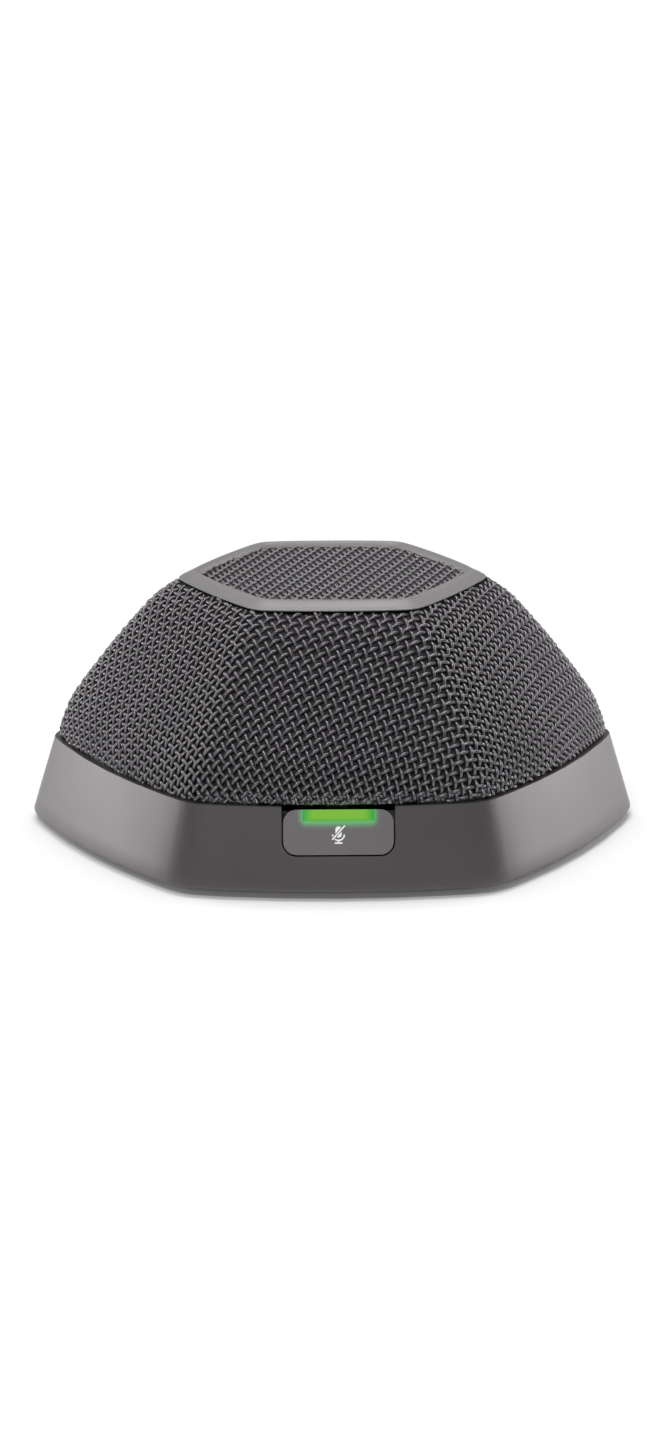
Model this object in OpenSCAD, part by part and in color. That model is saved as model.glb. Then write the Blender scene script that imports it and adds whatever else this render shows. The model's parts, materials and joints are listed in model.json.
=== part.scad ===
// Table microphone pod of a conference phone: a six-sided base, a woven steel dome and a press-to-mute button.
// Origin at the centre of the resting plane, +Z up, front (the button) towards -Y.

/* [Body] */
// width of the base from corner to corner
body_w = 140; // [130:1:170]
// radius of the outward bow of every side, in plan
bow_r = 160; // [140:5:220]
// height of the feet under the base
foot_h = 1.5; // [1:0.1:2.5]
// height of the joint between base and dome
seam_z = 20; // [19.4:0.1:21]
// height of the top of the dome, where the bezel rests
top_z = 57.5; // [56.5:0.1:70]
// how far the base draws in from its rim to the joint
base_draft = 5.4; // [4.6:0.1:5.8]
// corner rounding of the base
base_corner = 15; // [8:1:18]
// corner rounding of the dome
dome_corner = 14; // [6:0.5:16]
// corner radius of the dome's upper edge
top_r = 36.2; // [35:0.2:40]

/* [Shell walls] */
// wall offset of the base, measured at a corner
ring_wall = 2.5; // [2:0.1:2.8]
// wall offset of the woven dome, measured at a corner
mesh_t = 1; // [0.6:0.1:1.1]
// thickness of the bottom plate
plate_t = 2.5; // [2.2:0.1:3]
// thickness of the foam liner, measured at a corner
foam_t = 2.3; // [1:0.1:2.5]
// free space round soft pieces
soft_gap = 0.35; // [0.3:0.05:0.5]

/* [Bezel] */
// height of the bezel's ridge above the dome
bezel_h = 2; // [1.5:0.1:2.5]
// width of the bezel, measured at a corner
bezel_w = 5.2; // [4.5:0.1:5.4]
// thickness of the flat top mesh
top_mesh_t = 0.6; // [0.4:0.1:0.9]

/* [Button] */
// width of the mute button
button_w = 24.4; // [20:0.2:24.6]
// height of the mute button along the sloping wall
button_h = 10; // [9.8:0.1:10.2]
// gap round the mute button
button_gap = 0.35; // [0.3:0.05:0.5]
// thickness of the mute button cap
button_t = 2.2; // [2:0.1:2.3]
// corner radius of the mute button
button_corner = 3; // [1.5:0.1:4]
// travel of the mute button
button_travel = 0.5; // [0.3:0.05:0.6]
// distance of each guide pin from the middle of the button
guide_x = 9; // [7.5:0.1:9.5]
// radius of the guide pins
guide_r = 1.5; // [1.2:0.05:1.7]
// radial play of pins and stem in their holes
guide_play = 0.05; // [0.03:0.01:0.08]
// width of the lit bar
bar_w = 15.8; // [12:0.1:16.5]
// height of the lit bar
bar_h = 2.5; // [2:0.1:3]

/* [Network socket and cable bay] */
// width of the jack
jack_w = 16; // [15:0.5:16.5]
// depth of the jack
jack_d = 16; // [14:0.5:16]
// height of the jack
jack_h = 13.5; // [13:0.1:13.6]
// width of the plug opening
plug_w = 11.8; // [11.7:0.1:12.2]
// height of the plug opening
plug_h = 8.2; // [8:0.1:8.6]
// width of the cable bay
bay_w = 18; // [17.6:0.1:20]
// height of the bay roof's underside above the table
bay_z = 16.3; // [15:0.1:16.3]
// width of the cable notch at the back
notch_w = 8.4; // [6:0.2:10]

/* [Boards] */
// thickness of the boards
board_t = 1.6; // [1.2:0.1:1.8]
// radius of the microphone board
mic_board_r = 26; // [25:0.5:28]
// radius of the circle the outer microphones sit on
mic_circle = 18; // [17:0.5:20]
// radius of a microphone capsule
capsule_r = 3; // [2.5:0.1:3.2]
// height of a microphone capsule
capsule_h = 2.6; // [2:0.1:2.8]

/* [Fasteners] */
// radius of the base screws
base_screw_r = 1.3; // [1.1:0.05:1.4]
// radius of the small screws
small_screw_r = 1; // [0.8:0.05:1.05]
// thickness of the weight plate
ballast_t = 3; // [2:0.5:3.5]
// radius of the feet
foot_r = 6; // [5:0.5:6.5]

/* [Hidden] */
half = body_w / 2 + 0.0486 * base_corner;
phis = [-30, -28.4, -26.4, -22, -11, 0, 11, 22, 26.4, 28.4];
dome_u = [[0, 1], [0.048, 0.998], [0.118, 0.971], [0.249, 0.896], [0.377, 0.779], [0.508, 0.646],
  [0.636, 0.511], [0.767, 0.361], [0.896, 0.2], [1, 0]];
wall_u = [[0, 0], [0.03, 0.012], [0.2, 0.185], [0.4, 0.385], [0.6, 0.59], [0.8, 0.795], [1, 1]];
seam_r = half - 6.3;
wall_z0 = foot_h + 0.8;
shelf_z = seam_z - 2;
board_z = seam_z - 0.2;
plate_z = foot_h + plate_t;
deck_z = top_z - 10.6;
mic_z = deck_z + 4;
btn_z = seam_z - 5.2;
bezel_corner = 9;
bay_y = 20;
lean = atan((side(wall_r(8)) - side(wall_r(18.8))) / 10.8);
eps = 0.01;

function side(r) = r * cos(30) + bow_r - sqrt(bow_r * bow_r - r * r / 4);
function arc_r(r, a) = (side(r) - bow_r) * cos(a) + sqrt(bow_r * bow_r - pow((side(r) - bow_r) * sin(a), 2));
function soft_r(r, a, rc) = pow(pow(arc_r(r, a), -14.26 * r / rc) + pow(arc_r(r, 60 - abs(a)), -14.26 * r / rc),
  -rc / (14.26 * r));
function ring_at(r, z, rc) = [for (k = [0:5]) for (a = phis) let(q = soft_r(r, a, rc), t = 30 + 60 * k + a)
  [q * cos(t), q * sin(t), z]];
function plan(r, rc) = [for (p = ring_at(r, 0, rc)) [p[0], p[1]]];
function wall_r(z) = half - base_draft * lookup((z - wall_z0) / (seam_z - wall_z0), wall_u);
function dome_r(z) = top_r + (seam_r - top_r) * lookup((z - seam_z) / (top_z - seam_z), dome_u);
function dome_line(off, z0, z1) = [for (p = dome_u) let(z = seam_z + p[0] * (top_z - seam_z))
  if (z > z0 + 0.5 && z < z1 - 0.5) [dome_r(z) - off, z, dome_corner]];
function back(list) = [for (i = [len(list) - 1:-1:0]) list[i]];

// closed band: the cross-section runs anticlockwise as seen with the radius to the right and height up
module band(section) {
  n = len(phis) * 6;
  m = len(section);
  pts = [for (s = section) each ring_at(s[0], s[1], s[2])];
  polyhedron(points = pts, faces = [for (i = [0:m - 1]) for (j = [0:n - 1])
    [i * n + j, ((i + 1) % m) * n + j, ((i + 1) % m) * n + (j + 1) % n, i * n + (j + 1) % n]], convexity = 8);
}
module slab(r, rc, z0, z1) { translate([0, 0, z0]) linear_extrude(z1 - z0) polygon(plan(r, rc)); }
module rod(x, y, r, z0, z1) { translate([x, y, z0]) cylinder(r = r, h = z1 - z0, $fn = 48); }
module block(x0, x1, y0, y1, z0, z1) { translate([x0, y0, z0]) cube([x1 - x0, y1 - y0, z1 - z0]); }
module round_six(a0, r) { for (k = [0:5]) rotate([0, 0, a0 + 60 * k]) translate([r, 0, 0]) children(); }
module screw(r, z0, z1, head_r, head_h) {
  rod(0, 0, r, z0, z1);
  rod(0, 0, head_r, z1, z1 + head_h);
}
// local frame of the button: X right, Y up the slope, Z outwards
module front() { translate([0, -side(wall_r(btn_z)), btn_z]) rotate([90 - lean, 0, 0]) children(); }
module pad(w, h, rc, z0, z1) {
  translate([0, 0, z0]) linear_extrude(z1 - z0) union() {
    square([w - 2 * rc, h], center = true);
    square([w, h - 2 * rc], center = true);
    for (x = [-1, 1]) for (y = [-1, 1]) translate([x * (w / 2 - rc), y * (h / 2 - rc)]) circle(r = rc, $fn = 48);
  }
}
module bow() { translate([0, 0, -bow_r]) rotate([90, 0, 0]) cylinder(r = bow_r, h = 40, center = true, $fn = 720); }
module disc(r) { polygon([for (i = [0:31]) [r * cos(i * 11.25), r * sin(i * 11.25)]]); }
// the pictogram: a microphone on a stand with a stroke across it
module icon_plan() {
  translate([0, -0.1]) union() {
    difference() {
      union() {
        translate([0, 0.7]) disc(0.7);
        translate([0, -0.4]) disc(0.7);
        translate([-0.7, -0.4]) square([1.4, 1.1]);
        difference() {
          translate([0, -0.4]) disc(1.45);
          translate([0, -0.4]) disc(1.12);
          translate([-2, -0.4]) square([4, 3]);
        }
        translate([-0.18, -2.2]) square([0.36, 0.5]);
        translate([-0.85, -2.45]) square([1.7, 0.34]);
      }
      rotate(-42) square([0.72, 6], center = true);
    }
    rotate(-42) square([0.32, 4.2], center = true);
  }
}

module rubber_feet() {
  color([0.06, 0.06, 0.06]) round_six(0, half - 24) rod(0, 0, foot_r, 0, foot_h + 0.4);
}
module base_plate() {
  in_w = bay_w / 2;
  color([0.16, 0.16, 0.17]) difference() {
    union() {
      slab(half - 3.7, base_corner, foot_h, plate_z);
      for (x = [-34, 34]) for (y = [-20, 20]) rod(x, y, 3, plate_z - 0.5, board_z);
      block(-in_w - 1.5, in_w + 1.5, bay_y - 1.5, side(half - 12) + 2, plate_z - 0.5, bay_z + 1.5);
    }
    block(-in_w, in_w, bay_y, half, foot_h - 1, bay_z);
    block(-jack_w / 2 - 0.2, jack_w / 2 + 0.2, bay_y - 4, bay_y + 1, plate_z, bay_z + 3);
    round_six(0, half - 24) rod(0, 0, foot_r + soft_gap, foot_h - 1, foot_h + 0.7);
    round_six(0, half - 11.5) rod(0, 0, base_screw_r + 0.1, foot_h - 1, plate_z + 1);
    round_six(0, half - 11.5) rod(0, 0, 2.7, foot_h - 1, foot_h + 1.2);
    for (x = [-34, 34]) for (y = [-20, 20]) rod(x, y, small_screw_r + 0.02, plate_z + 2, board_z + 1);
    for (x = [-24, 24]) rod(x, -24, small_screw_r + 0.02, foot_h + 0.7, plate_z + 1);
  }
}
module base_ring() {
  z = foot_h;
  color([0.28, 0.28, 0.28]) difference() {
    union() {
      band(concat([[half - 3.4, z, base_corner], [half - 1, z, base_corner], [half - 0.25, z + 0.3, base_corner],
        [half, wall_z0, base_corner]],
        [for (p = wall_u) if (p[0] > 0.01) [half - base_draft * p[1], wall_z0 + p[0] * (seam_z - wall_z0),
          base_corner - 5 * p[0]]],
        [[half - 16, seam_z, 10], [half - 16, shelf_z, 10], [wall_r(shelf_z) - ring_wall, shelf_z, 11],
        [half - 3.4, z + 3.5, base_corner]]));
      round_six(0, half - 11.5) union() {
        rod(0, 0, 3.6, plate_z, 13);
        block(2, 7.2, -1, 1, plate_z + 1, 13);
      }
    }
    front() pad(button_w + 2 * button_gap, button_h + 2 * button_gap, button_corner + button_gap, -3.2, 5);
    front() block(-button_w / 2 - button_gap, button_w / 2 + button_gap, 0, button_h, -3.2, 5);
    block(-17.5, 17.5, -side(wall_r(shelf_z) - ring_wall) + 0.1, -40, shelf_z - 1, seam_z + 1);
    block(-notch_w / 2, notch_w / 2, 50, half, foot_h - 1, foot_h + 8);
    round_six(0, half - 11.5) rod(0, 0, 2.32, plate_z - 1, plate_z + 6);
    round_six(0, half - 11.5) rod(0, 0, base_screw_r + 0.1, plate_z + 5, plate_z + 8);
    round_six(8, half - 15.5) rod(0, 0, small_screw_r + 0.05, shelf_z - 1, seam_z + 1);
  }
}
module brass_inserts() {
  color([0.75, 0.6, 0.3]) round_six(0, half - 11.5) difference() {
    rod(0, 0, 2.3, plate_z, plate_z + 5.5);
    rod(0, 0, base_screw_r + 0.02, plate_z - 1, plate_z + 7);
  }
}
module base_screws() {
  color([0.5, 0.5, 0.52]) round_six(0, half - 11.5) union() {
    rod(0, 0, base_screw_r, foot_h + 1.2, plate_z + 6.5);
    rod(0, 0, 2.5, foot_h + 0.1, foot_h + 1.2);
  }
}
module ballast_plate() {
  color([0.4, 0.4, 0.42]) difference() {
    block(-30, 30, -40, -8, plate_z, plate_z + ballast_t);
    for (x = [-24, 24]) rod(x, -24, small_screw_r + 0.1, plate_z - 1, plate_z + ballast_t + 1);
  }
}
module ballast_screws() {
  color([0.5, 0.5, 0.52]) for (x = [-24, 24]) translate([x, -24, 0])
    screw(small_screw_r, foot_h + 0.9, plate_z + ballast_t, 2, 1.2);
}
module ethernet_jack() {
  z = board_z - jack_h;
  color([0.7, 0.7, 0.72]) difference() {
    block(-jack_w / 2, jack_w / 2, bay_y - jack_d, bay_y, z, board_z);
    block(-plug_w / 2, plug_w / 2, bay_y - 11, bay_y + 1, z + 2, z + 2 + plug_h);
    block(-3, 3, bay_y - 11, bay_y + 1, z + 0.8, z + 3);
  }
}
module jack_contacts() {
  z = board_z - jack_h + 2 + plug_h;
  color([0.85, 0.68, 0.3]) for (i = [0:7]) block(-3.77 + i * 1.02, -3.37 + i * 1.02, bay_y - 11, bay_y - 3, z - 1, z);
}
module main_board() {
  color([0.06, 0.28, 0.14]) difference() {
    translate([0, 0, board_z]) linear_extrude(board_t) circle(r = half - 19, $fn = 6);
    for (x = [-34, 34]) for (y = [-20, 20]) rod(x, y, small_screw_r + 0.1, board_z - 1, board_z + board_t + 1);
  }
}
module board_screws() {
  color([0.5, 0.5, 0.52]) for (x = [-34, 34]) for (y = [-20, 20]) translate([x, y, 0])
    screw(small_screw_r, plate_z + 6, board_z + board_t, 2, 1.3);
}
module processor() { color([0.08, 0.08, 0.09]) block(6, 20, -10, 4, board_z + board_t, board_z + board_t + 1.5); }
module memory_chips() {
  color([0.1, 0.1, 0.11]) for (y = [-9, 0]) block(24, 33, y, y + 6, board_z + board_t, board_z + board_t + 1);
}
module power_transformer() {
  color([0.3, 0.26, 0.2]) union() {
    block(-32, -16, 0, 14, board_z + board_t, board_z + board_t + 3);
    block(-29, -19, 0.5, 13.5, board_z + board_t + 2, board_z + board_t + 10);
  }
}
module capacitors() {
  color([0.25, 0.27, 0.4]) for (x = [-14, -6, 2]) rod(x, 30, 3.2, board_z + board_t, board_z + board_t + 9);
}
module ribbon_sockets() {
  z = board_z + board_t;
  color([0.85, 0.83, 0.76]) union() {
    difference() {
      block(-8, 8, -16, -12, z, z + 3);
      block(-6.5, 6.5, -14.5, -13.5, z + 0.5, z + 4);
    }
    difference() {
      block(-8, 8, -16, -12, mic_z - 3, mic_z);
      block(-6.5, 6.5, -14.5, -13.5, mic_z - 4, mic_z - 0.5);
    }
  }
}
module ribbon_cable() {
  color([0.6, 0.6, 0.62]) block(-6.1, 6.1, -14.2, -13.8, board_z + board_t + 0.9, mic_z - 0.9);
}
module mic_carrier() {
  zs = [for (p = dome_u) let(z = seam_z + p[0] * (top_z - seam_z)) if (z > seam_z + 8 && z < deck_z) z];
  color([0.12, 0.12, 0.13]) difference() {
    union() {
      band([[half - 16.5, seam_z, 10], [half - 9.2, seam_z, dome_corner], [half - 9.2, seam_z + 2, dome_corner],
        [half - 16.5, seam_z + 2, 10]]);
      rod(0, 0, 29, deck_z, deck_z + 2);
      round_six(0, 0) rotate([90, 0, 0]) translate([0, 0, -1]) linear_extrude(2) polygon(concat(
        [[half - 15.6, seam_z + 1], [half - 11, seam_z + 1], [half - 12, seam_z + 3]],
        [for (z = zs) [dome_r(z) - 5.4, z]],
        [[dome_r(deck_z + 2) - 5.6, deck_z + 2], [27, deck_z + 2], [27, deck_z]],
        [for (z = back(zs)) [dome_r(z) - 11, z - 1]]));
      for (a = [30, 150, 270]) rotate([0, 0, a]) rod(20, 0, 2.2, deck_z + 1, mic_z);
    }
    block(-8.3, 8.3, -16.4, -11.6, deck_z - 1, deck_z + 3);
    for (a = [30, 150, 270]) rotate([0, 0, a]) rod(20, 0, small_screw_r + 0.02, deck_z + 0.5, mic_z + 1);
    round_six(8, half - 15.5) rod(0, 0, small_screw_r + 0.1, seam_z - 1, seam_z + 3);
  }
}
module carrier_screws() {
  color([0.5, 0.5, 0.52]) round_six(8, half - 15.5) screw(small_screw_r, shelf_z - 1.5, seam_z + 2, 1.9, 1.2);
}
module mic_board() {
  color([0.06, 0.28, 0.14]) difference() {
    rod(0, 0, mic_board_r, mic_z, mic_z + board_t);
    for (a = [30, 150, 270]) rotate([0, 0, a]) rod(20, 0, small_screw_r + 0.1, mic_z - 1, mic_z + board_t + 1);
  }
}
module mic_board_screws() {
  color([0.5, 0.5, 0.52]) for (a = [30, 150, 270]) rotate([0, 0, a]) translate([20, 0, 0])
    screw(small_screw_r, deck_z + 1, mic_z + board_t, 1.9, 1.2);
}
module mic_capsules() {
  color([0.78, 0.78, 0.8]) union() {
    rod(0, 0, capsule_r, mic_z + board_t, mic_z + board_t + capsule_h);
    round_six(0, mic_circle) rod(0, 0, capsule_r, mic_z + board_t, mic_z + board_t + capsule_h);
  }
}
module boot() {
  difference() {
    rod(0, 0, capsule_r + 1.3, mic_z + board_t + soft_gap, mic_z + board_t + capsule_h - 0.1);
    rod(0, 0, capsule_r + 0.3, mic_z, top_z);
  }
}
module mic_boots() {
  color([0.05, 0.05, 0.05]) union() {
    boot();
    round_six(0, mic_circle) boot();
  }
}
module top_foam() { color([0.1, 0.1, 0.1]) slab(29.4, bezel_corner, mic_z + board_t + capsule_h + 0.4, top_z - soft_gap); }
module grille_foam() {
  o = mesh_t + 0.45;
  z0 = seam_z + 2 + soft_gap;
  z1 = top_z - 4;
  color([0.1, 0.1, 0.1]) band(concat([[dome_r(z0) - o - foam_t, z0, dome_corner], [dome_r(z0) - o, z0, dome_corner]],
    dome_line(o, z0, z1), [[dome_r(z1) - o, z1, dome_corner], [dome_r(z1) - o - foam_t, z1, dome_corner]],
    back(dome_line(o + foam_t, z0, z1))));
}
module hem_band() {
  color([0.35, 0.35, 0.36]) band([[half - 9, seam_z, dome_corner], [half - 7.8, seam_z, dome_corner],
    [half - 7.8, seam_z + 2, dome_corner], [half - 9, seam_z + 2, dome_corner]]);
}
module grille_shell() {
  z1 = top_z - mesh_t * 0.8;
  color([0.24, 0.24, 0.25]) band(concat([[seam_r - mesh_t, seam_z, dome_corner], [seam_r, seam_z, dome_corner]],
    dome_line(0, seam_z, top_z), [[top_r, top_z, bezel_corner], [30, top_z, bezel_corner], [30, z1, bezel_corner], [top_r - 1.2, z1, bezel_corner]],
    back(dome_line(mesh_t, seam_z, z1 - 1))));
}
module top_grille() {
  color([0.24, 0.24, 0.25]) slab(top_r - bezel_w - 0.3, bezel_corner, top_z, top_z + top_mesh_t);
}
module top_bezel() {
  color([0.42, 0.41, 0.42]) band([[top_r - bezel_w, top_z, bezel_corner], [top_r - 0.2, top_z, bezel_corner], [top_r - 0.1, top_z + 0.5, bezel_corner],
    [top_r - 3.2, top_z + bezel_h - 0.1, bezel_corner], [top_r - 3.8, top_z + bezel_h, bezel_corner],
    [top_r - bezel_w, top_z + bezel_h * 0.5, bezel_corner]]);
}
module button_bracket() {
  color([0.14, 0.14, 0.15]) front() difference() {
    union() {
      block(-16.5, 16.5, -4.8, 4.8, -5, -3.8);
      for (x = [-1, 1]) translate([x * 14.75, 0, 0]) block(-1.75, 1.75, -4.8, 4.8, -8.3, -3.6);
    }
    for (x = [-guide_x, guide_x]) translate([x, 0, 0]) rod(0, 0, guide_r + guide_play, -6, -3);
    block(-4, 4, -4, 5.5, -6, -3);
    for (x = [-14.75, 14.75]) rod(x, 0, 0.82, -9, -5.5);
  }
}
module button_board() {
  color([0.06, 0.28, 0.14]) front() difference() {
    block(-16.5, 16.5, -4.8, 4.8, -9.5, -8.3);
    for (x = [-14.75, 14.75]) rod(x, 0, 0.9, -10, -8);
  }
}
module button_board_screws() {
  color([0.5, 0.5, 0.52]) front() for (x = [-14.75, 14.75]) union() {
    rod(x, 0, 0.8, -9.5, -6);
    rod(x, 0, 1.6, -10.5, -9.5);
  }
}
module tact_switch() {
  color([0.1, 0.1, 0.1]) front() difference() {
    block(-3, 3, -3, 3, -8.3, -5.3);
    rod(0, 0, 1.6 + guide_play, -7.2, -5);
  }
}
module switch_stem() { color([0.75, 0.75, 0.72]) front() rod(0, 0, 1.6, -6.4, -4.4); }
module status_leds() {
  color([0.9, 0.95, 0.85]) front() for (x = [-5.5, 5.5]) block(x - 1, x + 1, 2.6, 4.2, -8.3, -7.3);
}
module button_cable() {
  color([0.55, 0.55, 0.57]) translate([-2.5, 0, 0]) rotate([90, 0, 90]) linear_extrude(5)
    polygon([[-52.2, 10.2], [-43, 10.2], [-43, board_z], [-43.6, board_z], [-43.6, 10.8], [-52.2, 10.8]]);
}
module mute_button() {
  color([0.4, 0.38, 0.39]) front() union() {
    difference() {
      intersection() {
        pad(button_w, button_h, button_corner, -button_t, 1);
        bow();
      }
      block(-bar_w / 2, bar_w / 2, button_h / 2 - bar_h, button_h / 2 + 1, -1.4, 2);
      translate([0, 0, -0.4]) linear_extrude(3) icon_plan();
    }
    for (x = [-guide_x, guide_x]) rod(x, 0, guide_r, -6.2, -button_t + 0.3);
    rod(0, 0, 1.4, -4.38, -button_t + 0.3);
  }
}
module mute_icon() {
  color([0.95, 0.95, 0.95]) front() translate([0, 0, -0.4]) linear_extrude(0.39) icon_plan();
}
module light_bar() {
  color([0.3, 0.75, 0.1]) front() intersection() {
    block(-bar_w / 2, bar_w / 2, button_h / 2 - bar_h, button_h / 2, -1.4, 2);
    bow();
  }
}

rubber_feet();
base_plate();
base_ring();
ballast_plate();
ballast_screws();
base_screws();
brass_inserts();
ethernet_jack();
jack_contacts();
main_board();
board_screws();
processor();
memory_chips();
power_transformer();
capacitors();
ribbon_sockets();
ribbon_cable();
mic_carrier();
carrier_screws();
mic_board();
mic_board_screws();
mic_capsules();
mic_boots();
top_foam();
grille_foam();
hem_band();
grille_shell();
top_grille();
top_bezel();
button_bracket();
button_board();
button_board_screws();
tact_switch();
status_leds();
button_cable();
mute_button();
mute_icon();
light_bar();
switch_stem();
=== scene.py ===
import json
import math
import bmesh
import bpy
import numpy as np
from mathutils import Matrix, Vector


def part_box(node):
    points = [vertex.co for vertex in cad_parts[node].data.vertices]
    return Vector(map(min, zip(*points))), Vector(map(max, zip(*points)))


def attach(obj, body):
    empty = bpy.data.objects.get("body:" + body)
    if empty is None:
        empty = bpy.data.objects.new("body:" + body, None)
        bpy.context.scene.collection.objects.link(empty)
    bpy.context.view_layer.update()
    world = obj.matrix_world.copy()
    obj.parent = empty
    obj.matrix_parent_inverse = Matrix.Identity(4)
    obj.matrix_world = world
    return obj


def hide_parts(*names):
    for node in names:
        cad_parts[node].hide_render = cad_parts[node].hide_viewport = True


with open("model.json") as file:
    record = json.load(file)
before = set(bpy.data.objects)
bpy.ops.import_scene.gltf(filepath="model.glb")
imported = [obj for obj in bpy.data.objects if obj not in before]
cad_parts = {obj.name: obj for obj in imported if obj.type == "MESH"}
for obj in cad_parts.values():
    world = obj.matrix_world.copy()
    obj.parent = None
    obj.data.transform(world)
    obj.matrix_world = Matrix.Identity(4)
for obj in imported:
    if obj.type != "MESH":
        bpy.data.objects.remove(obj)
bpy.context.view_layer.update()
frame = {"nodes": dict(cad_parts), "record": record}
housing, button = "housing", "button"
mm = 0.001
print("frame loaded:", len(frame["nodes"]), "nodes")


def linear(hexColour, alpha=1.0):
    parts = [int(hexColour[i:i + 2], 16) / 255 for i in (1, 3, 5)]
    return [p / 12.92 if p <= 0.04045 else ((p + 0.055) / 1.055) ** 2.4 for p in parts] + [alpha]


def addNode(tree, kind, inputs=None, **settings):
    node = tree.nodes.new(kind)
    for name, value in settings.items():
        setattr(node, name, value)
    for name, value in (inputs or {}).items():
        if isinstance(value, bpy.types.NodeSocket):
            tree.links.new(value, node.inputs[name])
        else:
            node.inputs[name].default_value = value
    return node


# one entry for each real material and how its surface was made
# grain is the size of the surface texture and depth its height, both in mm; spread is the change in tone
finishes = {
    # moulded ABS with a satin metallic coat: soft sheen, fine flakes, no texture to feel
    "base_plastic": dict(colour="#656163", metallic=0.8, roughness=0.37, grain=0.35, depth=0.008,
        spread=0.08),
    # moulded ABS with a spark-eroded texture: dull black
    "dark_plastic": dict(colour="#232325", metallic=0.0, roughness=0.6, grain=0.4, depth=0.02, spread=0.08),
    # moulded silicone rubber: matt and slightly dusty
    "rubber": dict(colour="#191919", metallic=0.0, roughness=0.85, grain=0.5, depth=0.02, spread=0.15),
    # woven steel wire with a baked coat: small bright lines along each wire
    "mesh_steel": dict(colour="#6b686b", metallic=0.85, roughness=0.33, grain=0.25, depth=0.008, spread=0.12),
    # die-cast frame with a satin metallic coat, paler than the base
    "bezel_coat": dict(colour="#7d7a7c", metallic=0.3, roughness=0.5, grain=0.3, depth=0.005, spread=0.06),
    # cold-rolled steel, zinc plated: patchy satin grey
    "steel": dict(colour="#8d8f92", metallic=1.0, roughness=0.38, grain=1.2, depth=0.01, spread=0.15),
    # turned brass
    "brass": dict(colour="#b5924c", metallic=1.0, roughness=0.3, grain=0.3, depth=0.01, spread=0.1),
    # tinned steel sheet: bright with faint streaks
    "jack_shield": dict(colour="#c3c4c7", metallic=1.0, roughness=0.22, grain=0.8, depth=0.006, spread=0.08),
    # gold-plated spring contacts
    "contact_gold": dict(colour="#d8b45a", metallic=1.0, roughness=0.2, grain=0.2, depth=0.003, spread=0.05),
    # glass-fibre board under green solder mask: the weave shows faintly
    "board_green": dict(colour="#17472b", metallic=0.0, roughness=0.4, grain=0.6, depth=0.01, spread=0.18,
        coat=0.3),
    # moulded epoxy of a chip
    "chip_black": dict(colour="#1b1b1d", metallic=0.0, roughness=0.55, grain=0.15, depth=0.008, spread=0.1),
    # varnished ferrite and tape
    "coil": dict(colour="#5d4f39", metallic=0.0, roughness=0.5, grain=0.7, depth=0.03, spread=0.2),
    # shrink sleeve over an aluminium can
    "capacitor_can": dict(colour="#3a4066", metallic=0.0, roughness=0.3, grain=1.0, depth=0.004, spread=0.05),
    # moulded nylon
    "socket_cream": dict(colour="#d9d4c4", metallic=0.0, roughness=0.5, grain=0.3, depth=0.006, spread=0.05),
    # flat cable in vinyl
    "ribbon_grey": dict(colour="#9b9b9d", metallic=0.0, roughness=0.5, grain=0.5, depth=0.01, spread=0.08),
    # pressed aluminium can
    "capsule_metal": dict(colour="#c4c5c8", metallic=1.0, roughness=0.3, grain=0.2, depth=0.004, spread=0.06),
    # open-cell polyurethane foam: deep black pores
    "foam": dict(colour="#39363a", metallic=0.0, roughness=0.95, grain=0.7, depth=0.12, spread=0.4),
    # moulded ABS cap with a satin metallic coat, paler and smoother than the base
    "button_coat": dict(colour="#757173", metallic=0.35, roughness=0.38, grain=0.3, depth=0.004, spread=0.06),
    # white pad print
    "icon_white": dict(colour="#f4f4f4", metallic=0.0, roughness=0.5, grain=0.2, depth=0.003, spread=0.02),
    # moulded acetal
    "stem_plastic": dict(colour="#c9c9c4", metallic=0.0, roughness=0.45, grain=0.3, depth=0.005, spread=0.05),
    # clear epoxy over a light-emitting chip
    "led": dict(colour="#e3ecd2", metallic=0.0, roughness=0.2, grain=0.3, depth=0.003, spread=0.05),
}


# slow change of gloss over a surface: patch is its size in mm, low and high what roughness is multiplied by
wear = dict(patch=25, low=0.92, high=1.08)


def makeFinish(name, colour, metallic, roughness, grain, depth, spread, coat=0.0):
    material = bpy.data.materials.new(name)
    material.use_nodes = True
    tree = material.node_tree
    tree.nodes.clear()
    place = addNode(tree, "ShaderNodeTexCoord").outputs["Object"]
    fine = addNode(tree, "ShaderNodeTexNoise", {"Vector": place, "Scale": 1 / (grain * mm), "Detail": 3.0})
    broad = addNode(tree, "ShaderNodeTexNoise", {"Vector": place, "Scale": 1 / (wear["patch"] * mm),
        "Detail": 2.0})
    base = linear(colour)
    dark = [c * (1 - spread) for c in base[:3]] + [1]
    light = [min(1, c * (1 + spread)) for c in base[:3]] + [1]
    tone = addNode(tree, "ShaderNodeMix", {"Factor": fine.outputs["Fac"]}, data_type="RGBA")
    tone.inputs[6].default_value = dark
    tone.inputs[7].default_value = light
    rough = addNode(tree, "ShaderNodeMapRange", {"Value": broad.outputs["Fac"], "From Min": 0.3,
        "From Max": 0.7, "To Min": roughness * wear["low"], "To Max": min(1, roughness * wear["high"])})
    bump = addNode(tree, "ShaderNodeBump", {"Height": fine.outputs["Fac"], "Strength": 0.6,
        "Distance": depth * mm})
    shader = addNode(tree, "ShaderNodeBsdfPrincipled", {"Base Color": tone.outputs[2], "Metallic": metallic,
        "Roughness": rough.outputs["Result"], "Normal": bump.outputs["Normal"], "Coat Weight": coat,
        "Coat Roughness": 0.2})
    addNode(tree, "ShaderNodeOutputMaterial", {"Surface": shader.outputs["BSDF"]})
    return material


finish = {name: makeFinish(name, **spec) for name, spec in finishes.items()}


# frosted acrylic lit from behind: bright yellow-green middle, deeper green towards its ends and lower edge
# evenShare is how much of the half width stays even, and lowerFade the height of the lower edge in mm
litBar = dict(core="#76b82a", edge="#00a13a", body="#06180a", strength=0.95, evenShare=0.72, lowerFade=1.0)


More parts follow.
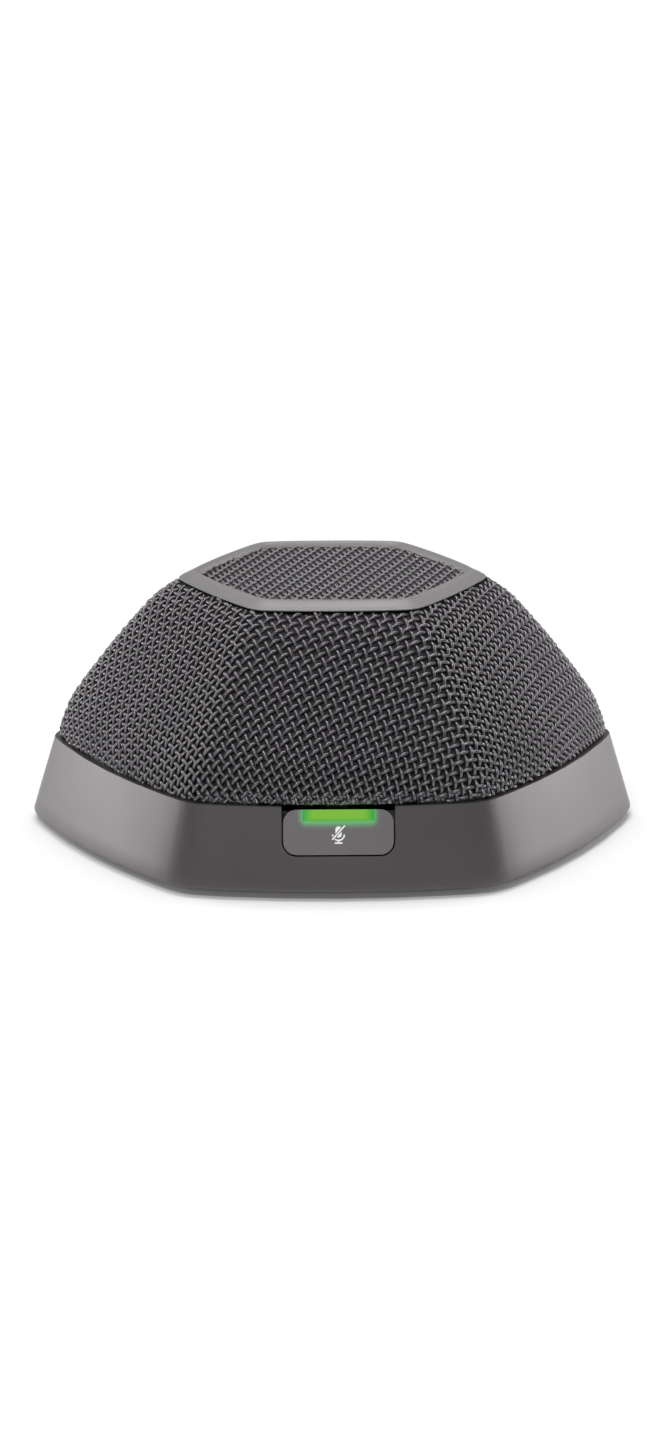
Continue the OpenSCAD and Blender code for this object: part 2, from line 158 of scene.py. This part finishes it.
def makeLitBar():
    material = bpy.data.materials.new("litDiffuser")
    material.use_nodes = True
    tree = material.node_tree
    tree.nodes.clear()
    place = addNode(tree, "ShaderNodeTexCoord").outputs["Object"]
    low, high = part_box("light_bar")
    split = addNode(tree, "ShaderNodeSeparateXYZ", {"Vector": place})
    across = addNode(tree, "ShaderNodeMath", {0: split.outputs["X"]}, operation="ABSOLUTE")
    sideShare = addNode(tree, "ShaderNodeMapRange", {"Value": across.outputs[0],
        "From Min": high.x * litBar["evenShare"], "From Max": high.x, "To Min": 0.0, "To Max": 1.0})
    upShare = addNode(tree, "ShaderNodeMapRange", {"Value": split.outputs["Z"],
        "From Min": low.z + litBar["lowerFade"] * mm, "From Max": low.z, "To Min": 0.0, "To Max": 1.0})
    share = addNode(tree, "ShaderNodeMath", {0: sideShare.outputs["Result"], 1: upShare.outputs["Result"]},
        operation="MAXIMUM")
    tone = addNode(tree, "ShaderNodeMix", {"Factor": share.outputs[0]}, data_type="RGBA")
    tone.inputs[6].default_value = linear(litBar["core"])
    tone.inputs[7].default_value = linear(litBar["edge"])
    shader = addNode(tree, "ShaderNodeBsdfPrincipled", {"Base Color": linear(litBar["body"]),
        "Roughness": 0.5, "Emission Color": tone.outputs[2], "Emission Strength": litBar["strength"]})
    addNode(tree, "ShaderNodeOutputMaterial", {"Surface": shader.outputs["BSDF"]})
    return material


finish["lit_green"] = makeLitBar()


# the cap's coat scatters a little of the bar's light: a green rim that fades out in 1.5 mm
# start is the corner radius of the inner edge of the glow, and fall how fast it fades
glowRim = dict(colour="#00a13a", start=0.8, reach=1.5, fall=1.8, strength=0.85)


def addGlowRim(material):
    tree = material.node_tree
    low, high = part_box("light_bar")
    start = glowRim["start"] * mm
    place = addNode(tree, "ShaderNodeTexCoord").outputs["Object"]
    split = addNode(tree, "ShaderNodeSeparateXYZ", {"Vector": place})
    across = addNode(tree, "ShaderNodeMath", {0: split.outputs["X"]}, operation="ABSOLUTE")
    beside = addNode(tree, "ShaderNodeMath", {0: across.outputs[0], 1: high.x - start}, operation="SUBTRACT")
    below = addNode(tree, "ShaderNodeMath", {0: low.z + start, 1: split.outputs["Z"]}, operation="SUBTRACT")
    besideOnly = addNode(tree, "ShaderNodeMath", {0: beside.outputs[0], 1: 0.0}, operation="MAXIMUM")
    belowOnly = addNode(tree, "ShaderNodeMath", {0: below.outputs[0], 1: 0.0}, operation="MAXIMUM")
    offset = addNode(tree, "ShaderNodeCombineXYZ", {"X": besideOnly.outputs[0], "Z": belowOnly.outputs[0]})
    away = addNode(tree, "ShaderNodeVectorMath", {0: offset.outputs[0]}, operation="LENGTH")
    fade = addNode(tree, "ShaderNodeMapRange", {"Value": away.outputs["Value"], "From Min": start,
        "From Max": (glowRim["start"] + glowRim["reach"]) * mm, "To Min": 1.0, "To Max": 0.0})
    soft = addNode(tree, "ShaderNodeMath", {0: fade.outputs["Result"], 1: glowRim["fall"]}, operation="POWER")
    tone = addNode(tree, "ShaderNodeMix", {"Factor": soft.outputs[0]}, data_type="RGBA")
    tone.inputs[6].default_value = (0, 0, 0, 1)
    tone.inputs[7].default_value = linear(glowRim["colour"])
    shader = next(node for node in tree.nodes if node.type == "BSDF_PRINCIPLED")
    tree.links.new(tone.outputs[2], shader.inputs["Emission Color"])
    shader.inputs["Emission Strength"].default_value = glowRim["strength"]


addGlowRim(finish["button_coat"])
slotOf = {row["node"]: row["material_slot"] for row in frame["record"]["subparts"]}


def dress(piece, slotName):
    piece.data.materials.clear()
    piece.data.materials.append(finish[slotName])


for nodeName, item in frame["nodes"].items():
    if not item.material_slots:
        item.data.materials.append(None)
    for place in item.material_slots:
        place.link = "OBJECT"
        place.material = finish[slotOf[nodeName]]
print("finishes made:", len(finish))


def newPiece(name, mesh, slotName, body, *nodes):
    piece = bpy.data.objects.new(name, mesh)
    bpy.context.scene.collection.objects.link(piece)
    dress(piece, slotName)
    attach(piece, body)
    if nodes:
        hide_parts(*nodes)
    return piece


def smooth(mesh, degrees):
    mesh.polygons.foreach_set("use_smooth", [True] * len(mesh.polygons))
    mesh.set_sharp_from_angle(angle=math.radians(degrees))


# a copy of a part with its loose triangles joined where they meet within weld, in metres
# flatten merges faces within that many degrees
def mergedCopy(nodeName, flatten=0.0, weld=2e-6):
    source = frame["nodes"][nodeName].data
    work = bmesh.new()
    work.from_mesh(source)
    bmesh.ops.remove_doubles(work, verts=work.verts, dist=weld)
    if flatten:
        bmesh.ops.dissolve_limit(work, angle_limit=math.radians(flatten), verts=work.verts, edges=work.edges)
    work.verts.index_update()
    mesh = bpy.data.meshes.new(nodeName)
    mesh.from_pydata([v.co.copy() for v in work.verts], [], [[v.index for v in f.verts] for f in work.faces])
    work.free()
    mesh.update()
    return mesh


# plan shape shared by every six-sided piece, in mm: bow is the radius of its bulging sides
# sharpness turns a corner radius into the power of its rounding; around and crowding place the points
pod = dict(bow=160.0, sharpness=14.26, around=30, crowding=1.6)


def sideRadius(radius, angle):
    centre = radius * math.cos(math.pi / 6) + pod["bow"] - np.sqrt(pod["bow"] ** 2 - radius ** 2 / 4)
    offset = centre - pod["bow"]
    return offset * np.cos(angle) + np.sqrt(pod["bow"] ** 2 - (offset * np.sin(angle)) ** 2)


def softRadius(radius, angle, corner):
    power = pod["sharpness"] * radius / corner
    nearSide, nextSide = sideRadius(radius, angle), sideRadius(radius, math.pi / 3 - np.abs(angle))
    return nearSide * (1 + (nearSide / nextSide) ** power) ** (-1 / power)


def ringAngles():
    share = np.linspace(-1, 1, pod["around"] + 1)[:-1]
    # closer together towards the corners
    bent = np.sign(share) * (1 - (1 - np.abs(share)) ** pod["crowding"])
    turns = [math.pi / 6 + math.pi / 3 * k + math.pi / 6 * bent for k in range(6)]
    return np.concatenate(turns), np.tile(math.pi / 6 * bent, 6)


# cut foam: two waves round a ring that never line up, in waves a turn and radians a mm of height
cutWaves = dict(first=211, firstRise=5.1, second=347, secondRise=7.7)


# a closed six-sided ring with this section; wobble is the height of an uneven cut in mm
def bandMesh(name, section, wobble=0.0):
    turn, local = ringAngles()
    rings = []
    for radius, z, corner in section:
        r = softRadius(radius, local, corner)
        if wobble:
            first = np.sin(turn * cutWaves["first"] + z * cutWaves["firstRise"])
            second = np.sin(turn * cutWaves["second"] - z * cutWaves["secondRise"])
            r = r + wobble * (first + second) * 0.5
        rings.append(np.stack([r * np.cos(turn), r * np.sin(turn), np.full_like(turn, z)], axis=1))
    count, rows = len(turn), len(section)
    faces = [(i * count + j, ((i + 1) % rows) * count + j, ((i + 1) % rows) * count + (j + 1) % count,
        i * count + (j + 1) % count) for i in range(rows) for j in range(count)]
    mesh = bpy.data.meshes.new(name)
    mesh.from_pydata((np.concatenate(rings) * mm).tolist(), [], faces)
    work = bmesh.new()
    work.from_mesh(mesh)
    bmesh.ops.recalc_face_normals(work, faces=work.faces)
    work.to_mesh(mesh)
    work.free()
    return mesh


baseShell = mergedCopy("base_ring")
smooth(baseShell, 24)
newPiece("baseShell", baseShell, "base_plastic", housing, "base_ring")

# cap and bar keep their exact shape, and their moulded edges are rounded by width mm
buttonPieces = {
    "muteCap": dict(node="mute_button", width=0.28),
    "litWindow": dict(node="light_bar", width=0.12),
}
# edges sharper than bevelAbove degrees are rounded, and ones flatter than smoothBelow are shaded smooth
softening = dict(flatten=0.6, segments=3, bevelAbove=50, smoothBelow=35)

for pieceName, spec in buttonPieces.items():
    capMesh = mergedCopy(spec["node"], softening["flatten"])
    capPiece = newPiece(pieceName, capMesh, slotOf[spec["node"]], button, spec["node"])
    softEdge = capPiece.modifiers.new("softEdge", "BEVEL")
    softEdge.width = spec["width"] * mm
    softEdge.segments = softening["segments"]
    softEdge.limit_method = "ANGLE"
    softEdge.angle_limit = math.radians(softening["bevelAbove"])
    softEdge.use_clamp_overlap = True
    smooth(capMesh, softening["smoothBelow"])
print("base and button made")

# bezel: a cast frame with a wide outer slope, a thin ridge and a step down to the flat mesh
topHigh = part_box("top_bezel")[1]
domeLow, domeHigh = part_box("grille_shell")
bezel = dict(outer=36.1, ridge=32.3, inner=31.0, corner=13, foot=domeHigh.z / mm, crest=topHigh.z / mm)


def bezelSection():
    outer, ridge, inner, foot, crest = (bezel[k] for k in ("outer", "ridge", "inner", "foot", "crest"))
    lowerEdge = [(inner, foot), (outer - 0.2, foot), (outer, foot + 0.08), (outer + 0.02, foot + 0.3)]
    slope = [(outer - 0.22, foot + 0.46), (outer - 0.5, foot + 0.5), (ridge + 0.75, crest - 0.2)]
    top = [(ridge + 0.6, crest - 0.04), (ridge + 0.35, crest - 0.01), (ridge - 0.1, crest - 0.02),
        (ridge - 0.4, crest - 0.16)]
    step = [(inner + 0.15, foot + 1.0), (inner, foot + 0.8)]
    return [(r, z, bezel["corner"]) for r, z in lowerEdge + slope + top + step]


bezelMesh = bandMesh("bezelFrame", bezelSection())
smooth(bezelMesh, 32)
newPiece("bezelFrame", bezelMesh, "bezel_coat", housing, "top_bezel")

# woven dome and top: one plain-weave sheet, laid over the form along its slopes
# wire is a wire's radius, lift its wave and step the spacing of its points
# depth is how far the sheet lies under the form
# reach is half the sheet, and nearest and farthest bound what can lie on the dome
# topRise and topTuck are how high the flat top's wires lie and how far they run under the bezel
weave = dict(pitch=2.0, wire=0.42, lift=0.38, turn=math.radians(25), step=0.6, sides=6, depth=0.62,
    reach=88.0, nearest=26, farthest=90, topRise=0.42, topTuck=0.3)
# heights and widths are shares of the way from seam to top, one pair for each bend of the dome's profile
dome = dict(seamRadius=64.4, topRadius=36.2, seamCorner=14.0, topCorner=12.0,
    seamZ=domeLow.z / mm, topZ=domeHigh.z / mm,
    heights=(0, 0.048, 0.118, 0.249, 0.377, 0.508, 0.636, 0.767, 0.896, 1.0),
    widths=(1, 0.998, 0.971, 0.896, 0.779, 0.646, 0.511, 0.361, 0.2, 0.0))


def domeProfile(steps=8):
    v, u = np.array(dome["heights"]), np.array(dome["widths"])
    pts = np.stack([u, v], axis=1)
    pts = np.vstack([2 * pts[0] - pts[1], pts, 2 * pts[-1] - pts[-2]])
    out = []
    for i in range(1, len(pts) - 2):
        p0, p1, p2, p3 = pts[i - 1:i + 3]
        for t in np.arange(steps) / steps:
            out.append(0.5 * (2 * p1 + (p2 - p0) * t + (2 * p0 - 5 * p1 + 4 * p2 - p3) * t * t
                + (3 * p1 - p0 - 3 * p2 + p3) * t ** 3))
    out.append(pts[-2])
    out = np.array(out)[::-1]  # from the top edge down to the seam
    radius = dome["topRadius"] + (dome["seamRadius"] - dome["topRadius"]) * out[:, 0]
    return radius, dome["seamZ"] + (dome["topZ"] - dome["seamZ"]) * out[:, 1]


profileR, profileZ = domeProfile()
# slope lengths worked out once for half a side, in columns that are half a degree apart
perDegree = 2
columns = 30 * perDegree
columnAngle = np.radians(np.linspace(0, 30, columns + 1))
cornerSize = np.interp(profileZ[::-1], [dome["seamZ"], dome["topZ"]],
    [dome["seamCorner"], dome["topCorner"]])[::-1]
columnR = np.array([[softRadius(r, a, c) for r, c in zip(profileR, cornerSize)] for a in columnAngle])
stepLength = np.sqrt(np.diff(columnR, axis=1) ** 2 + np.diff(profileZ)[None, :] ** 2)
columnS = columnR[:, :1] + np.concatenate([np.zeros((columns + 1, 1)), np.cumsum(stepLength, axis=1)], axis=1)


# where points of the flat sheet come to lie: rho is measured down the slope
# far is 0 at the bezel and 1 at the seam
def onDome(rho, theta):
    across = np.abs(np.degrees(theta) % 60 - 30) * perDegree
    low = np.clip(np.floor(across).astype(int), 0, columns - 1)
    share = across - low
    r, z, dr, dz, far = (np.zeros_like(rho) for i in range(5))
    index = np.arange(len(profileR))
    for column in np.unique(low):
        pick = low == column
        s = columnS[column] * (1 - share[pick, None]) + columnS[column + 1] * share[pick, None]
        rr = columnR[column] * (1 - share[pick, None]) + columnR[column + 1] * share[pick, None]
        for k, target in enumerate(np.nonzero(pick)[0]):
            at = np.interp(rho[target], s[k], index)
            r[target], z[target] = np.interp(at, index, rr[k]), np.interp(at, index, profileZ)
            ahead, behind = min(at + 1, index[-1]), max(at - 1, 0)
            dr[target] = np.interp(ahead, index, rr[k]) - np.interp(behind, index, rr[k])
            dz[target] = np.interp(ahead, index, profileZ) - np.interp(behind, index, profileZ)
            far[target] = (rho[target] - s[k][0]) / (s[k][-1] - s[k][0])
    size = np.hypot(dr, dz)
    return r, z, -dz / size, dr / size, far


def wireRuns(family, place):
    pitch, reach = weave["pitch"], weave["reach"]
    along = np.arange(-reach, reach + 0.01, weave["step"])
    points, edges = [], []
    for number in range(int(-reach / pitch), int(reach / pitch) + 1):
        phase = np.cos(math.pi * (along / pitch + number)) * weave["lift"] * (1 if family == 0 else -1)
        offset = np.full_like(along, number * pitch)
        u, v = (along, offset) if family == 0 else (offset, along)
        x = u * math.cos(weave["turn"]) - v * math.sin(weave["turn"])
        y = u * math.sin(weave["turn"]) + v * math.cos(weave["turn"])
        rho, theta = np.hypot(x, y), np.arctan2(y, x)
        if place == "dome":
            near = (rho > weave["nearest"]) & (rho < weave["farthest"])
            if near.sum() < 4:
                continue
            r, z, nr, nz, far = (np.zeros_like(rho) for i in range(5))
            r[near], z[near], nr[near], nz[near], far[near] = onDome(rho[near], theta[near])
            inside = near & (far > 0.0) & (far < 1.0)
            shift = phase - weave["depth"]
            r, z = r + nr * shift, z + nz * shift
            z = np.maximum(z, dome["seamZ"] + weave["wire"])
        else:
            local = np.radians(np.degrees(theta) % 60 - 30)
            inside = rho < softRadius(bezel["inner"] + weave["topTuck"], local, bezel["corner"])
            r, z = rho, np.full_like(rho, bezel["foot"] + weave["topRise"]) + phase
        spot = np.stack([r * np.cos(theta), r * np.sin(theta), z], axis=1) * mm
        previous = None
        for i in np.nonzero(inside)[0]:
            points.append(spot[i].tolist())
            if previous == i - 1:
                edges.append((len(points) - 2, len(points) - 1))
            previous = i
    return points, edges


def wireTree():
    tree = bpy.data.node_groups.new("wovenWire", "GeometryNodeTree")
    face = tree.interface
    face.new_socket("Geometry", in_out="INPUT", socket_type="NodeSocketGeometry")
    inputs = {"Wire radius": "NodeSocketFloat", "Sides": "NodeSocketInt", "Finish": "NodeSocketMaterial"}
    for label, kind in inputs.items():
        face.new_socket(label, in_out="INPUT", socket_type=kind)
    face.new_socket("Geometry", in_out="OUTPUT", socket_type="NodeSocketGeometry")
    start = addNode(tree, "NodeGroupInput")
    path = addNode(tree, "GeometryNodeMeshToCurve", {"Mesh": start.outputs["Geometry"]})
    ring = addNode(tree, "GeometryNodeCurvePrimitiveCircle", {"Resolution": start.outputs["Sides"],
        "Radius": start.outputs["Wire radius"]}, mode="RADIUS")
    tube = addNode(tree, "GeometryNodeCurveToMesh", {"Curve": path.outputs["Curve"],
        "Profile Curve": ring.outputs["Curve"], "Fill Caps": True})
    soft = addNode(tree, "GeometryNodeSetShadeSmooth", {"Geometry": tube.outputs["Mesh"]})
    real = addNode(tree, "GeometryNodeRealizeInstances", {"Geometry": soft.outputs[0]})
    paint = addNode(tree, "GeometryNodeSetMaterial", {"Geometry": real.outputs[0],
        "Material": start.outputs["Finish"]})
    addNode(tree, "NodeGroupOutput", {"Geometry": paint.outputs["Geometry"]})
    return tree


def grow(name, points, edges, tree, inputs):
    guide = bpy.data.meshes.new(name)
    guide.from_pydata(points, edges, [])
    carrier = bpy.data.objects.new(name, guide)
    bpy.context.scene.collection.objects.link(carrier)
    grower = carrier.modifiers.new("grow", "NODES")
    grower.node_group = tree
    for socket in tree.interface.items_tree:
        if socket.in_out == "INPUT" and socket.name in inputs:
            grower[socket.identifier] = inputs[socket.name]
    graph = bpy.context.evaluated_depsgraph_get()
    grown = bpy.data.meshes.new_from_object(carrier.evaluated_get(graph), depsgraph=graph)
    carrier.modifiers.remove(grower)
    bpy.data.objects.remove(carrier)
    grown.name = name
    return grown


woven = wireTree()
for place, nodeName in (("dome", "grille_shell"), ("top", "top_grille")):
    for family, label in ((0, "Warp"), (1, "Weft")):
        runPoints, runEdges = wireRuns(family, place)
        wires = grow(place + label, runPoints, runEdges, woven,
            {"Wire radius": weave["wire"] * mm, "Sides": weave["sides"], "Finish": finish["mesh_steel"]})
        newPiece(place + label, wires, "mesh_steel", housing, nodeName)
        print(place, label, len(wires.polygons), "faces")

# foam behind the mesh: dark, open-celled, following the dome; uneven is the height of its cut surface
foam = dict(gap=1.6, thickness=2.3, low=dome["seamZ"] + 0.5, high=dome["topZ"] - 0.7, corner=14, uneven=0.08)


def foamSection():
    keep = [i for i in range(0, len(profileR), 2) if foam["low"] < profileZ[i] < foam["high"]]
    outside = [(profileR[i] - foam["gap"], profileZ[i], foam["corner"]) for i in reversed(keep)]
    inside = [(profileR[i] - foam["gap"] - foam["thickness"], profileZ[i], foam["corner"]) for i in keep]
    return outside + inside


foamMesh = bandMesh("foamLiner", foamSection(), foam["uneven"])
smooth(foamMesh, 60)
newPiece("foamLiner", foamMesh, "foam", housing, "grille_foam")
padLow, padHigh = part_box("top_foam")
# pad under the flat top, with a faint ripple; upper and lower are the rings between its rim and its middle
pad = dict(radius=29.4, corner=9, ripple=0.02, rippleTurn=2.3, upper=(24, 18, 12, 6, 1), lower=(1, 15))
padRows = [(r, padHigh.z / mm + pad["ripple"] * math.sin(r * pad["rippleTurn"]), pad["corner"])
    for r in (pad["radius"], *pad["upper"])]
padRows += [(r, padLow.z / mm, pad["corner"]) for r in (*pad["lower"], pad["radius"])]
padMesh = bandMesh("topPad", padRows)
smooth(padMesh, 60)
newPiece("topPad", padMesh, "foam", housing, "top_foam")

# feet: moulded pads with a rounded rim; pin is the tiny radius at their middle
feet = dict(radius=6.0, ring=46.73, count=6, rim=0.35, sides=40, pin=0.01)


def feetMesh():
    low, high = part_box("rubber_feet")
    rim, top = feet["rim"], high.z / mm
    section = [(0.0, 0.0), (feet["radius"] - rim, 0.0), (feet["radius"] - rim * 0.3, rim * 0.3),
        (feet["radius"], rim), (feet["radius"], top), (0.0, top)]
    points, faces, turnCount = [], [], feet["sides"]
    for k in range(feet["count"]):
        centre = (feet["ring"] * math.cos(k * math.pi / 3), feet["ring"] * math.sin(k * math.pi / 3))
        start = len(points)
        for r, z in section:
            for j in range(turnCount):
                a = 2 * math.pi * j / turnCount
                reach = max(r, feet["pin"])
                x, y = centre[0] + reach * math.cos(a), centre[1] + reach * math.sin(a)
                points.append((x * mm, y * mm, z * mm))
        for i in range(len(section)):
            nextRow = (i + 1) % len(section)
            for j in range(turnCount):
                faces.append((start + i * turnCount + j, start + i * turnCount + (j + 1) % turnCount,
                    start + nextRow * turnCount + (j + 1) % turnCount, start + nextRow * turnCount + j))
    mesh = bpy.data.meshes.new("footPads")
    mesh.from_pydata(points, [], faces)
    work = bmesh.new()
    work.from_mesh(mesh)
    bmesh.ops.recalc_face_normals(work, faces=work.faces)
    work.to_mesh(mesh)
    work.free()
    return mesh


footMesh = feetMesh()
smooth(footMesh, 40)
newPiece("footPads", footMesh, "rubber", housing, "rubber_feet")
print("foam and feet made")

# floor, light and camera: camera sizes are in mm, and the floor's half width and its white glow are in metres
studio = dict(distance=1000.0, elevation=15.6, yaw=1.2, aim=(-0.26, 0.0, 23.3), dotsPerMm=4.28, longSide=1440,
    sensor=36.0, floor=6.0, paper=(0.8, 0.8, 0.81, 1), glowFrom=0.07, glowTo=0.26, glowLow=0.1, air=0.3)


def makeFloor():
    size = studio["floor"]
    mesh = bpy.data.meshes.new("floor")
    corners = [(-size, -size, 0), (size, -size, 0), (size, size, 0), (-size, size, 0)]
    mesh.from_pydata(corners, [], [(0, 1, 2, 3)])
    item = bpy.data.objects.new("floor", mesh)
    bpy.context.scene.collection.objects.link(item)
    material = bpy.data.materials.new("paperFloor")
    material.use_nodes = True
    tree = material.node_tree
    tree.nodes.clear()
    paper = addNode(tree, "ShaderNodeBsdfDiffuse", {"Color": studio["paper"]})
    glow = addNode(tree, "ShaderNodeEmission", {"Color": (1, 1, 1, 1), "Strength": 1.0})
    ray = addNode(tree, "ShaderNodeLightPath")
    place = addNode(tree, "ShaderNodeTexCoord").outputs["Object"]
    away = addNode(tree, "ShaderNodeVectorMath", {0: place}, operation="LENGTH")
    spread = addNode(tree, "ShaderNodeMapRange", {"Value": away.outputs["Value"],
        "From Min": studio["glowFrom"], "From Max": studio["glowTo"], "To Min": studio["glowLow"],
        "To Max": 1.0})
    share = addNode(tree, "ShaderNodeMath", {0: ray.outputs["Is Camera Ray"], 1: spread.outputs["Result"]},
        operation="MULTIPLY")
    mixed = addNode(tree, "ShaderNodeMixShader", {0: share.outputs[0], 1: paper.outputs[0],
        2: glow.outputs[0]})
    addNode(tree, "ShaderNodeOutputMaterial", {"Surface": mixed.outputs[0]})
    mesh.materials.append(material)


def makeWorld():
    world = bpy.data.worlds.new("studioAir")
    bpy.context.scene.world = world
    world.use_nodes = True
    tree = world.node_tree
    tree.nodes.clear()
    ray = addNode(tree, "ShaderNodeLightPath")
    level = addNode(tree, "ShaderNodeMapRange", {"Value": ray.outputs["Is Camera Ray"],
        "To Min": studio["air"], "To Max": 1.0})
    air = addNode(tree, "ShaderNodeBackground", {"Color": (1, 1, 1, 1), "Strength": level.outputs["Result"]})
    addNode(tree, "ShaderNodeOutputWorld", {"Surface": air.outputs[0]})


def addLamp(name, place, aim, size, power):
    lamp = bpy.data.lights.new(name, "AREA")
    lamp.shape = "RECTANGLE"
    lamp.size, lamp.size_y = size
    lamp.energy = power
    item = bpy.data.objects.new(name, lamp)
    bpy.context.scene.collection.objects.link(item)
    item.location = place
    item.rotation_euler = (Vector(aim) - Vector(place)).to_track_quat("-Z", "Y").to_euler()


def makeCamera():
    yaw, rise = math.radians(studio["yaw"]), math.radians(studio["elevation"])
    unturn = Matrix.Rotation(-yaw, 3, "Z")
    aim = Vector(studio["aim"])
    spot = aim + Vector((0, -math.cos(rise), math.sin(rise))) * studio["distance"]
    lens = bpy.data.cameras.new("view")
    lens.sensor_width = studio["sensor"]
    lens.lens = studio["sensor"] * studio["dotsPerMm"] * studio["distance"] / studio["longSide"]
    lens.clip_start, lens.clip_end = 0.05, 50
    item = bpy.data.objects.new("view", lens)
    bpy.context.scene.collection.objects.link(item)
    item.location = unturn @ spot * mm
    item.rotation_euler = ((unturn @ aim) - (unturn @ spot)).to_track_quat("-Z", "Y").to_euler()
    bpy.context.scene.camera = item


# soft boxes: places and sizes in metres, power in watts
lamps = {
    "overhead": dict(place=(0.0, 0.25, 1.2), aim=(0, 0, 0), size=(1.1, 0.7), power=11),
    "leftPanel": dict(place=(-1.1, 0.5, 0.35), aim=(0, 0, 0.03), size=(0.9, 0.7), power=8),
    "rightPanel": dict(place=(1.1, 0.5, 0.35), aim=(0, 0, 0.03), size=(0.9, 0.7), power=8),
    "frontFill": dict(place=(-0.3, -1.1, 1.25), aim=(0, 0, 0.03), size=(0.5, 0.3), power=10),
}

makeFloor()
makeWorld()
for name, spec in lamps.items():
    addLamp(name, **spec)
makeCamera()
bpy.context.scene.view_settings.view_transform = "Standard"
print("studio made")
